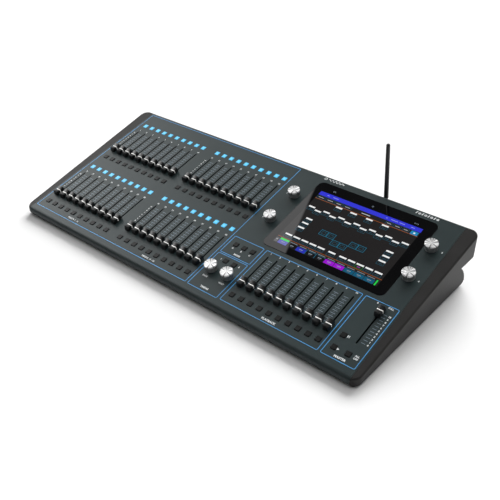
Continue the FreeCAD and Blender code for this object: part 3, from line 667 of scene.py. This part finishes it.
def line_legs():
    """The white line's two legs down the flanks, as thin upright blocks."""
    sides = [(4, 5, 6, 7), (3, 2, 1, 0), (0, 1, 5, 4), (1, 2, 6, 5), (2, 3, 7, 6), (3, 0, 4, 7)]
    low, high = CAP_LOW + 1.0, CAP_TOP - CAP_DIP - 0.2
    flank, proud = CAP_HALF_WIDTH + 0.02, 0.06
    left = box_points((-flank + proud, -flank - proud), LINE_HALF, low, high)
    right = box_points((flank - proud, flank + proud), LINE_HALF, low, high)
    return [(left, [face[::-1] for face in sides]), (right, sides)]


def cap_stem():
    """The lever below a cap: a block without a top, which the cap hides."""
    foot, half_width, half_length = -10.0, 0.6, 2.0
    stem = [(x * half_width, y * half_length, z) for z in (foot, CAP_LOW + 0.2)
            for x, y in ((-1, -1), (1, -1), (1, 1), (-1, 1))]
    return np.array(stem), [(0, 3, 2, 1), (0, 1, 5, 4), (1, 2, 6, 5), (2, 3, 7, 6), (3, 0, 4, 7)]


# %% All the caps
def cap_set(name, node, body, places):
    """All the caps of one body as one piece, standing for that body's node."""
    points, faces, picks = swept_cap()
    stem, stem_faces = cap_stem()
    legs = line_legs()
    solid, solid_faces = together([(points, faces), (stem, stem_faces), *legs])
    kinds = picks + [0] * len(stem_faces) + [1] * sum(len(group) for _, group in legs)
    points, faces = together([(solid + (x, y, 0), solid_faces) for x, y in places])
    made = piece(name, laid(points), faces, body, [cap_abs, cap_line],
                 kinds * len(places), smooth=True)
    made.data.set_sharp_from_angle(angle=math.radians(38))
    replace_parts(made, node)


for bank, (first, shift) in enumerate(firsts[:BANKS], 1):
    cap_set(f"preset_caps_with_line_{bank}", f"preset_fader_caps_{bank}", f"preset_faders_{bank}",
            [(first + PITCH * i, FADER_LOW + shift) for i in range(BANK_FADERS)])
for i in range(BANK_FADERS):
    cap_set(f"playback_cap_with_line_{i + 1}", f"playback_fader_cap_{i + 1}", f"playback_fader_{i + 1}",
            [(PLAYBACK_X + PITCH * i, FADER_LOW)])
cap_set("master_cap_with_line", "master_fader_cap", "master_fader", [(MASTER_X, FADER_LOW + FADER_TRAVEL)])

# %% [markdown]
# ## Knobs
# The knobs are turned from aluminium bar. The lathe leaves fine rings on the face, which smear every
# highlight into spokes, and the skirt is fluted for grip. Bright and dark spokes are also painted into
# the face's colour as painted highlights. The body is a surface of revolution whose radius is cut back
# by the flutes; its own UV map, angle by distance, tells the face's anisotropic shader which way the
# rings run.

# %% Turned aluminium with painted highlight spokes
PAINTED_SPOKE_START, PAINTED_SPOKE_END = 0.40, 0.52
STRETCH, QUARTER_TURN = 0.85, 0.25


def turned_aluminium(name, dark, light, rough, streaks):
    """Bare metal whose brightness varies with the angle round the axis, as spokes, read from the UV map."""
    made = grained(name, dark, light, rough, 0.6, 0.004, 8.0, 0.04, 0.6)
    tree = made.node_tree
    shader = tree.nodes["Principled BSDF"]
    flat = add(tree, "ShaderNodeUVMap", uv_map="turning")
    parts = add(tree, "ShaderNodeSeparateXYZ", {0: flat.outputs[0]})
    spin = add(tree, "ShaderNodeMath", {0: parts.outputs[0], 1: 2 * math.pi}, operation="MULTIPLY")
    east = add(tree, "ShaderNodeMath", {0: spin.outputs[0]}, operation="COSINE")
    north = add(tree, "ShaderNodeMath", {0: spin.outputs[0]}, operation="SINE")
    circle = add(tree, "ShaderNodeCombineXYZ", {0: east.outputs[0], 1: north.outputs[0]})
    # Painted highlight: bright and dark spokes are painted into the base colour by the angle round the axis.
    spokes = add(tree, "ShaderNodeTexNoise", {"Vector": circle.outputs[0], "Scale": streaks, "Detail": 3.0})
    depth = add(tree, "ShaderNodeMapRange", {0: spokes.outputs[0], 1: PAINTED_SPOKE_START, 2: PAINTED_SPOKE_END})
    blend = add(tree, "ShaderNodeMix", {"Factor": depth.outputs[0], 6: linear(dark), 7: linear(light)},
                data_type="RGBA")
    tree.links.new(blend.outputs[2], shader.inputs["Base Color"])
    tangent = add(tree, "ShaderNodeTangent", direction_type="UV_MAP", uv_map="turning")
    tree.links.new(tangent.outputs[0], shader.inputs["Tangent"])
    shader.inputs["Anisotropic"].default_value = STRETCH
    shader.inputs["Anisotropic Rotation"].default_value = QUARTER_TURN
    return made


# The tool's rings spread each reflection round the face, and bright and dark spokes are painted highlights in
# its colour.
knob_face = turned_aluminium("knob_face_spun_aluminium_painted_spokes", "#55585a", "#ffffff", 0.42, 3.4)
# The skirt is duller and greyer than the face, so that its flutes read as light and dark stripes.
knob_skirt = grained("knob_skirt_machined_satin_aluminium", "#7b7e80", "#989b9c", 0.38, 0.6, 0.01, 10.0,
                     0.06, 0.55)

# %% The knob's surface
KNOB_PROFILE = np.array([
    (0.0, 1.0), (5.0, 1.0), (10.6, 1.0), (11.25, 1.25), (11.3, 1.6), (11.3, 4.0), (11.3, 7.0), (11.3, 10.2),
    (11.25, 11.0), (10.7, 11.35), (10.6, 11.8), (11.7, 11.85), (11.95, 12.2), (12.0, 13.4), (11.9, 14.2),
    (11.55, 14.75), (11.1, 15.0), (10.6, 14.95), (10.3, 14.7), (9.9, 14.62), (7.0, 14.6), (4.0, 14.6),
    (1.6, 14.62), (0.0, 14.62)])
# The flutes run up the skirt between its rounded foot and the groove; the face starts above that.
FLUTE_RADIUS, FLUTE_LOW, FLUTE_HIGH = 11.0, 1.3, 11.2
PROFILE_RADIUS, PROFILE_HEIGHT = KNOB_PROFILE.T
FLUTED = (PROFILE_HEIGHT > FLUTE_LOW) & (PROFILE_HEIGHT < FLUTE_HIGH) & (PROFILE_RADIUS > FLUTE_RADIUS)
FACE_ROW = 11
KNOB_STEPS = 144
FLUTES, FLUTE_DEPTH = 24, 0.75


def knob_surface():
    """Radius and height from the profile, swept through a full turn, with the foot and the crown closed.

    A flute takes its depth off the radius, times the square of a raised cosine of the angle times the
    number of flutes. The profile row that each face starts from comes back with the faces.
    """
    angle = np.linspace(0, 2 * np.pi, KNOB_STEPS, endpoint=False)
    groove = FLUTE_DEPTH * (0.5 + 0.5 * np.cos(FLUTES * angle)) ** 2
    radius = KNOB_PROFILE[:, :1] - FLUTED[:, None] * groove
    height = np.broadcast_to(KNOB_PROFILE[:, 1:], radius.shape)
    grid = np.stack([radius * np.cos(angle), radius * np.sin(angle), height], -1)
    points = np.concatenate([grid[:1, 0], grid[1:-1].reshape(-1, 3), grid[-1:, 0]])
    rows, last = len(KNOB_PROFILE), len(points) - 1
    this = np.arange(KNOB_STEPS)
    following = (this + 1) % KNOB_STEPS
    top = last - KNOB_STEPS
    foot = np.stack([np.zeros_like(this), following + 1, this + 1], -1)
    body = quads(rows - 2, KNOB_STEPS, False, True) + 1
    crown = np.stack([this + top, following + top, np.full_like(this, last)], -1)
    return points, foot.tolist() + body.tolist() + crown.tolist(), np.repeat(np.arange(rows - 1), KNOB_STEPS)


def turning_map():
    """UV of every corner of the knob's faces: the share of a turn across, the share of the profile up."""
    rows = len(KNOB_PROFILE)
    steps = np.arange(KNOB_STEPS)
    left, right, middle = steps / KNOB_STEPS, (steps + 1) / KNOB_STEPS, (steps + 0.5) / KNOB_STEPS

    def corners(*places):
        return np.stack([np.stack([turn, np.full(KNOB_STEPS, row / rows)], -1) for turn, row in places], 1)

    foot = corners((middle, 0), (right, 1), (left, 1))
    body = [corners((left, row), (right, row), (right, row + 1), (left, row + 1))
            for row in range(1, rows - 2)]
    crown = corners((left, rows - 2), (right, rows - 2), (middle, rows - 1))
    return np.concatenate([part.reshape(-1, 2) for part in (foot, *body, crown)])


# %% The shaft and the six knobs
SHAFT_RADIUS, SHAFT_LOW, SHAFT_HIGH, SHAFT_SIDES = 3.0, -9.0, 1.0, 16


def knob_shaft():
    """A round shaft below the knob, as a rod with a lid below; the knob hides its top."""
    angle = np.linspace(0, 2 * np.pi, SHAFT_SIDES, endpoint=False)
    rim = SHAFT_RADIUS * np.stack([np.cos(angle), np.sin(angle)], -1)
    rings = [np.column_stack([rim, np.full(SHAFT_SIDES, z)]) for z in (SHAFT_LOW, SHAFT_HIGH)]
    lid = list(range(SHAFT_SIDES))[::-1]
    return np.concatenate(rings), [lid] + quads(2, SHAFT_SIDES, False, True).tolist()


knob_points, knob_faces, face_rows = knob_surface()
shaft_points, shaft_faces = knob_shaft()
whole, whole_faces = together([(knob_points, knob_faces), (shaft_points, shaft_faces)])
picks = np.concatenate([(face_rows < FACE_ROW).astype(int), np.ones(len(shaft_faces), int)])
turning = turning_map()
for number, (x, y) in enumerate(KNOBS, 1):
    made = piece(f"encoder_knob_turned_{number}", laid(whole + (x, y, 0)), whole_faces, f"encoder_{number}",
                 [knob_face, knob_skirt], picks, smooth=True)
    made.data.set_sharp_from_angle(angle=math.radians(32))
    uv = made.data.uv_layers.new(name="turning")
    corners = np.zeros((len(made.data.loops), 2))
    corners[:len(turning)] = turning
    uv.data.foreach_set("uv", corners.ravel())
    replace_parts(made, f"encoder_knob_{number}")

# %% [markdown]
# ## Channel lights
# Behind each preset fader is a square lens lit by a cyan diode. The lens diffuses it, so the middle is
# nearly white and the edges are deeper. The distance from the middle of the nearest lens comes from
# the position itself: PINGPONG folds the row of lenses, one pitch apart, onto one.

# %% Lit polycarbonate lens
LENS_BRIGHT, LENS_EDGE, LENS_GLOW = 1.0, 5.4, 0.62


def lit_lens():
    """Frosted lens: light falls off with the larger of the two distances from its middle."""
    made = grained("channel_lens_lit_frosted_polycarbonate", "#1f7fa6", "#2f97bd", 0.35, 0.6, 0.01, 6.0)
    tree = made.node_tree
    shader = tree.nodes["Principled BSDF"]
    here = add(tree, "ShaderNodeTexCoord").outputs["Object"]
    flat = add(tree, "ShaderNodeMapping", {"Vector": here, "Location": [-v * MM for v in DECK_FRONT]})
    level = add(tree, "ShaderNodeMapping", {"Vector": flat.outputs[0], "Rotation": (-DECK_TILT, 0, 0)})
    parts = add(tree, "ShaderNodeSeparateXYZ", {0: level.outputs[0]})
    from_first = add(tree, "ShaderNodeMath", {0: parts.outputs[0], 1: PRESET_X[0] * MM}, operation="SUBTRACT")
    fold_x = add(tree, "ShaderNodeMath", {0: from_first.outputs[0], 1: PITCH / 2 * MM}, operation="PINGPONG")
    from_row = add(tree, "ShaderNodeMath", {0: parts.outputs[1], 1: LIGHT_Y * MM}, operation="SUBTRACT")
    fold_y = add(tree, "ShaderNodeMath", {0: from_row.outputs[0], 1: BANK_STEP / 2 * MM},
                 operation="PINGPONG")
    far = add(tree, "ShaderNodeMath", {0: fold_x.outputs[0], 1: fold_y.outputs[0]}, operation="MAXIMUM")
    fall = add(tree, "ShaderNodeMapRange", {0: far.outputs[0], 1: LENS_BRIGHT * MM, 2: LENS_EDGE * MM})
    glow = add(tree, "ShaderNodeMix", {"Factor": fall.outputs[0], 6: linear("#8ae2ff"), 7: linear("#2c9fd6")},
               data_type="RGBA")
    tree.links.new(glow.outputs[2], shader.inputs["Emission Color"])
    shader.inputs["Emission Strength"].default_value = LENS_GLOW
    return made


dress("channel_lights", lit_lens())

# %% [markdown]
# ## The screen
# The front is one sheet of hardened glass, black ceramic ink fired on its back as a border, with the
# display bonded to it by clear resin, so there is no air gap and no second reflection. The sheet is
# drawn black-backed and mirror smooth. The display's picture is a set of flat lit rectangles at the
# surface, each with its colour stored at its corners as an attribute, so one material lights them all.

# %% Glass with its black border
GLASS_IOR = 1.52
SMEAR_SIZE, SMEAR_ROUGHNESS = 28.0, 0.03


def polished(name, dark, light):
    """Bare glass over a dark backing: no grain, only finger smears that dull the gloss a little."""
    made = bpy.data.materials.new(name)
    made.use_nodes = True
    tree = made.node_tree
    shader = tree.nodes["Principled BSDF"]
    here = add(tree, "ShaderNodeTexCoord").outputs["Object"]
    smear = add(tree, "ShaderNodeTexNoise", {"Vector": here, "Scale": 1 / (SMEAR_SIZE * MM), "Detail": 5.0})
    polish = add(tree, "ShaderNodeMapRange", {0: smear.outputs[0], 1: 0.5, 2: 0.8,
                                              3: 0.0, 4: SMEAR_ROUGHNESS})
    backing = add(tree, "ShaderNodeMix", {"Factor": smear.outputs[0], 6: linear(dark), 7: linear(light)},
                  data_type="RGBA")
    tree.links.new(polish.outputs[0], shader.inputs["Roughness"])
    tree.links.new(backing.outputs[2], shader.inputs["Base Color"])
    shader.inputs["IOR"].default_value = GLASS_IOR
    return made


# %% The sheet of glass
# Black ceramic ink behind glass is the deepest black on the desk, under one sharp clear reflection.
glass = polished("screen_hardened_glass_black_backed", "#050506", "#0b0b0d")
GLASS_CORNER = 12.0
GLASS_EDGE = ((0.3, -2.4), (0.0, -2.1), (0.0, 0.3), (0.3, GLASS_TOP))


def plate(x0, x1, y0, y1, corner, levels):
    """Rounded slab: one loop per (inset, height), stacked, with a flat face on the first and the last."""
    loops = [rounded_loop(x0 + inset, x1 - inset, y0 + inset, y1 - inset, corner - inset, 16)
             for inset, _ in levels]
    count = len(loops[0])
    points = np.concatenate([np.column_stack([loop, np.full(count, height)])
                             for loop, (_, height) in zip(loops, levels)])
    top = (len(levels) - 1) * count
    faces = quads(len(levels), count, False, True).tolist()
    return points, faces + [list(range(count))[::-1], list(range(top, top + count))]


points, faces = plate(*GLASS, GLASS_CORNER, GLASS_EDGE)
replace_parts(piece("screen_glass_sheet", laid(points), faces, "desk", [glass]), "screen_glass")

# %% [markdown]
# ## The picture on the display
# A lighting desk shows rows of fixture tiles: a white caption bar over an outlined box. The tiles are
# placed on the picture's own ruler, in millimetres from its lower left corner.

# %% Rectangles of the picture
PICTURE = (114.2, 332.95, 181.1, 339.1)
PICTURE_LEVEL, LAYER = GLASS_TOP + 0.01, 0.02
DIM_TEAL, TEAL, WHITE, ORANGE = "#1f5365", "#1d6f8c", "#f2f2f2", "#a35416"
tiles = []


def patch(x, y, width, height, colour, level=0):
    """Note one lit rectangle: middle, size, colour and the layer it lies in."""
    tiles.append((x, y, width, height, colour, level))


def box_outline(x, y, width, height, colour, line=0.7):
    """Note four thin rectangles round a middle."""
    for side in (-1, 1):
        patch(x + side * (width - line) / 2, y, line, height, colour, 2)
        patch(x, y + side * (height - line) / 2, width, line, colour, 2)


def fixture(x, y, width=14.6, box=8.0, outline=DIM_TEAL):
    """A white caption bar with an outlined box hanging below it."""
    patch(x, y, width - 0.8, 3.6, WHITE, 3)
    box_outline(x, y - 1.8 - box / 2, width, box, outline)
    patch(x, y - 1.8 - box * 0.55, width * 0.5, 1.0, outline, 2)


# %% Head of the page
WIDE, TALL = PICTURE[1] - PICTURE[0], PICTURE[3] - PICTURE[2]
MIDDLE = WIDE / 2
TITLE_Y, MENU_Y, HEAD_RULE_Y, FOOT_RULE_Y = 152.8, 141.7, 136.3, 16.6
patch(MIDDLE, TALL / 2, WIDE, TALL, "#211f1f")
patch(MIDDLE, TITLE_Y, WIDE, 10.4, "#3338d6", 1)
for x, width in ((20.0, 5.0), (37.0, 12.0), (148.0, 3.0), (164.0, 14.0), (179.5, 11.0), (201.0, 7.0)):
    patch(x, TITLE_Y, width, 1.6, "#8f93f0", 2)
for x, width in ((10.5, 19.0), (31.0, 19.0), (50.5, 16.5), (70.0, 18.0), (159.0, 14.5), (176.0, 15.0),
                 (193.0, 13.0)):
    box_outline(x, MENU_Y, width, 9.0, DIM_TEAL)
    patch(x, MENU_Y + 0.2, width * 0.62, 1.5, "#a9adb0", 3)
patch(110.0, MENU_Y + 0.2, 18.0, 1.6, "#c9cccd", 3)
patch(210.0, MENU_Y - 0.1, 14.0, 9.2, "#1f86b8", 1)
patch(210.0, MENU_Y - 0.1, 3.4, 3.4, "#e9f6fb", 2)
patch(MIDDLE, HEAD_RULE_Y, WIDE, 1.0, ORANGE, 1)

# %% Tiles of the page
for x in (57.0, 89.0, 123.0, 156.5):
    fixture(x, 133.2)
for i in range(13):
    fixture(10.2 + 16.6 * i, 111.4 - 5.0 * (i % 2))
for y in (80.4, 67.4, 54.2):
    fixture(25.2, y)
    fixture(196.8, y)
for x, y in ((70.0, 62.4), (86.2, 62.4), (102.0, 49.8), (118.0, 49.8), (133.8, 62.0), (149.8, 62.0)):
    box_outline(x, y, 15.6, 13.6, TEAL, 0.9)
    box_outline(x, y, 8.6, 6.6, DIM_TEAL, 0.8)
CHOSEN = 169.6
for x in (16.2, 34.2, 52.2, 70.2, 87.8, 111.0, 134.0, 151.8, CHOSEN, 187.4, 205.8):
    fixture(x, 28.0, 15.4, 8.0, "#1f7a33" if x == CHOSEN else DIM_TEAL)
patch(CHOSEN, 22.0, 6.0, 2.4, "#8a3d96", 3)
patch(MIDDLE, FOOT_RULE_Y, WIDE, 1.0, ORANGE, 1)

# %% Foot of the page
NIGHT, BLUE, VIOLET, SEA = "#101012", "#2733b4", "#9a14cf", "#0e5674"
CELLS = ("#5a5cb4", NIGHT, BLUE, NIGHT, NIGHT, VIOLET, VIOLET, SEA, SEA, SEA)
CELL_FIRST, CELL_STEP, CELL_WIDTH = 18.6, 20.2, 19.2
for i, colour in enumerate(CELLS):
    x = CELL_FIRST + CELL_STEP * i
    patch(x, 5.4, CELL_WIDTH, 9.6, colour, 1)
    patch(x, 6.2, 7.6, 1.1, "#9aa2ac", 2)
    patch(x, 3.6, 5.0, 0.9, "#6d7680", 2)
    patch(x, 13.0, 15.0, 1.5, "#7d8790", 2)
    if i == 0:
        patch(x, 12.6, CELL_WIDTH, 4.6, "#39d45a", 3)
    if i in (3, 4):
        patch(x - 9.8, 8.0, 0.8, 15.0, TEAL, 2)
        patch(x + 2.0, 10.4, 15.0, 0.7, TEAL, 2)
patch(4.0, 6.4, 6.6, 11.0, "#55555a", 1)
patch(4.0, 8.0, 3.0, 1.4, "#b9b9bd", 2)
patch(213.6, 6.6, 2.6, 12.6, "#22d84c", 2)
print("rectangles of the picture:", len(tiles))

# %% [markdown]
# ## Lighting the picture
# A liquid-crystal panel is a grid of tiny colour filters in front of a lamp. Every rectangle becomes
# a flat face, a hair above the glass and above the layer below it, so that no two fight for one depth.
# The panel's fine grid, about 0.3 mm on the real one, is drawn as a mottle 1.4 mm wide, so it shows.

# %% The picture as one piece
colours = [colour for _, _, _, _, colour, _ in tiles]
x, y, width, height, level = np.array([(*sides, layer) for *sides, _, layer in tiles]).T
x = np.clip(x, width / 2, WIDE - width / 2)
corner_x = PICTURE[0] + x[:, None] + width[:, None] / 2 * [-1, 1, 1, -1]
corner_y = PICTURE[2] + y[:, None] + height[:, None] / 2 * [-1, -1, 1, 1]
corner_z = np.broadcast_to(PICTURE_LEVEL + LAYER * level[:, None], corner_x.shape)
points = np.stack([corner_x, corner_y, corner_z], -1).reshape(-1, 3)

# %% The lit material and the piece
# A lit panel behind clear glass glows evenly, and its blacks stay black under the same sharp reflection.
MOTTLE, DIMMEST, BRIGHTEST = 1.4, 0.8, 1.1
lit = polished("display_lit_liquid_crystal", "#060607", "#0b0c0d")
tree = lit.node_tree
shader = tree.nodes["Principled BSDF"]
stored = add(tree, "ShaderNodeAttribute", attribute_name="lit_colour")
here = add(tree, "ShaderNodeTexCoord").outputs["Object"]
uneven = add(tree, "ShaderNodeTexNoise", {"Vector": here, "Scale": 1 / (MOTTLE * MM), "Detail": 1.0})
amount = add(tree, "ShaderNodeMapRange", {0: uneven.outputs[0], 1: 0.3, 2: 0.7, 3: DIMMEST, 4: BRIGHTEST})
shown = add(tree, "ShaderNodeVectorMath", {0: stored.outputs["Color"], "Scale": amount.outputs[0]},
            operation="SCALE")
tree.links.new(shown.outputs[0], shader.inputs["Emission Color"])
shader.inputs["Emission Strength"].default_value = 1.0
made = piece("screen_picture", laid(points), np.arange(len(points)).reshape(-1, 4), "desk", [lit])
layer = made.data.color_attributes.new("lit_colour", "FLOAT_COLOR", "CORNER")
layer.data.foreach_set("color", np.repeat([linear(colour) for colour in colours], 4, 0).ravel())

# %% [markdown]
# ## Signs on the border of the glass
# Three small signs are printed in the black border above the picture: a ring with a bar in it, two
# bars leaning together, and four short bars. They lie just above the glass.

# %% Border signs
BORDER_INK = GLASS_TOP + 0.03
ROOF = [(137.0, 348.6, 1.6, 3.0, 1.0), (140.4, 348.6, 1.6, 3.0, -1.0)]
FOUR_BARS = [(312.4 + 2.2 * i, 346.2, 1.3, 2.0, 0) for i in range(4)]
marks = [printed_frame(222.0, 226.0, 346.4, 350.4, 0.6, 1.99, BORDER_INK),
         printed_bars([(224.0, 348.4, 0.8, 2.2, 0)], BORDER_INK), printed_bars(ROOF, BORDER_INK),
         printed_bars(FOUR_BARS, BORDER_INK)]
points, faces = together(marks)
film(piece("printed_border_signs", laid(points), faces, "desk", [grey_ink]))

# %% [markdown]
# ## The rear wall
# The round sockets hold a black nylon insert with five gold-plated contacts. An insert's face is a
# profile turned about the socket's axis: flat in the middle, with a small chamfer at its rim. Each
# contact is a gold ring round a hole, drawn as a flat lid painted near black as painted shade. Small
# printed figures count the sockets of each kind.

# %% Points on the rear wall
WALL = 383.0
SOCKET_ROW = -29.0
DMX_X = (-200.0, -160.0, -120.0, -80.0)
NETWORK_X = (-20.0, 12.0)
USB_X = (56.0, 86.0)


def on_wall(points, x, z=SOCKET_ROW):
    """Points (across, up, out) in mm as seen from behind, set round a place on the wall."""
    across, up, out = np.moveaxis(np.asarray(points, float), -1, 0)
    return laid(np.stack([x - across, WALL + out, z + up], -1))


def turned(profile, steps, middle=(0.0, 0.0)):
    """A profile of (radius, height) pairs turned about an axis, with a lid on its last and first ring."""
    angle = np.linspace(0, 2 * np.pi, steps, endpoint=False)
    radius, height = np.array(profile, float).T
    across = middle[0] + radius[:, None] * np.cos(angle)
    up = middle[1] + radius[:, None] * np.sin(angle)
    points = np.stack([across, up, np.broadcast_to(height[:, None], across.shape)], -1).reshape(-1, 3)
    faces = quads(len(radius), steps, False, True).tolist()
    top = len(points) - steps
    return points, faces + [list(range(top, top + steps)), list(range(steps))[::-1]]


# %% Contact faces of the round sockets
# Painted shade: a hole is drawn as a flat lid painted plain black for the shade down its bore, with no
# highlight to give away its depth.
hole_painted_shade = grained("contact_hole_painted_shade_brass_bore", "#020202", "#050404", 0.7, 0.5, 0.01, 4.0, gleam=0.1)
INSERT_PROFILE = [(7.6, 2.6), (7.6, 3.1), (7.3, 3.3)]
CONTACT_PROFILE = [(1.5, 3.3), (1.4, 3.45), (1.05, 3.45), (1.0, 3.34)]
INSERT_STEPS, CONTACT_STEPS = 32, 16
CONTACT_CIRCLE = 4.9
CONTACT_ANGLE = np.radians([200, 245, 315, 340, 90])
contacts = CONTACT_CIRCLE * np.stack([np.cos(CONTACT_ANGLE), np.sin(CONTACT_ANGLE)], -1)
insert = turned(INSERT_PROFILE, INSERT_STEPS)
parts = [insert] + [turned(CONTACT_PROFILE, CONTACT_STEPS, place) for place in contacts]
NYLON, GOLD, HOLE_SHADE = 0, 1, 2
walls = (len(CONTACT_PROFILE) - 1) * CONTACT_STEPS
picks = [NYLON] * len(insert[1]) + ([GOLD] * walls + [HOLE_SHADE, GOLD]) * len(contacts)
points, faces = together(parts)
for number, x in enumerate(DMX_X, 1):
    piece(f"round_socket_contacts_{number}", on_wall(points, x), faces, "desk",
          [socket_nylon, gold_flash, hole_painted_shade], picks)

# %% Figures on the wall
FIGURE_ROWS = ((DMX_X, 5.0, 20.0), (NETWORK_X, 4.4, 12.6), (USB_X, 4.4, 9.2))
marks = []
for row, size, lift in FIGURE_ROWS:
    for number, x in enumerate(row, 1):
        points, faces = type_shape(str(number), 0.012)
        marks.append((on_wall(points * (size, size, 0) + (0, lift, INK), x), faces))
points, faces = together(marks)
film(piece("printed_wall_figures", points, faces, "desk", [white_ink]))
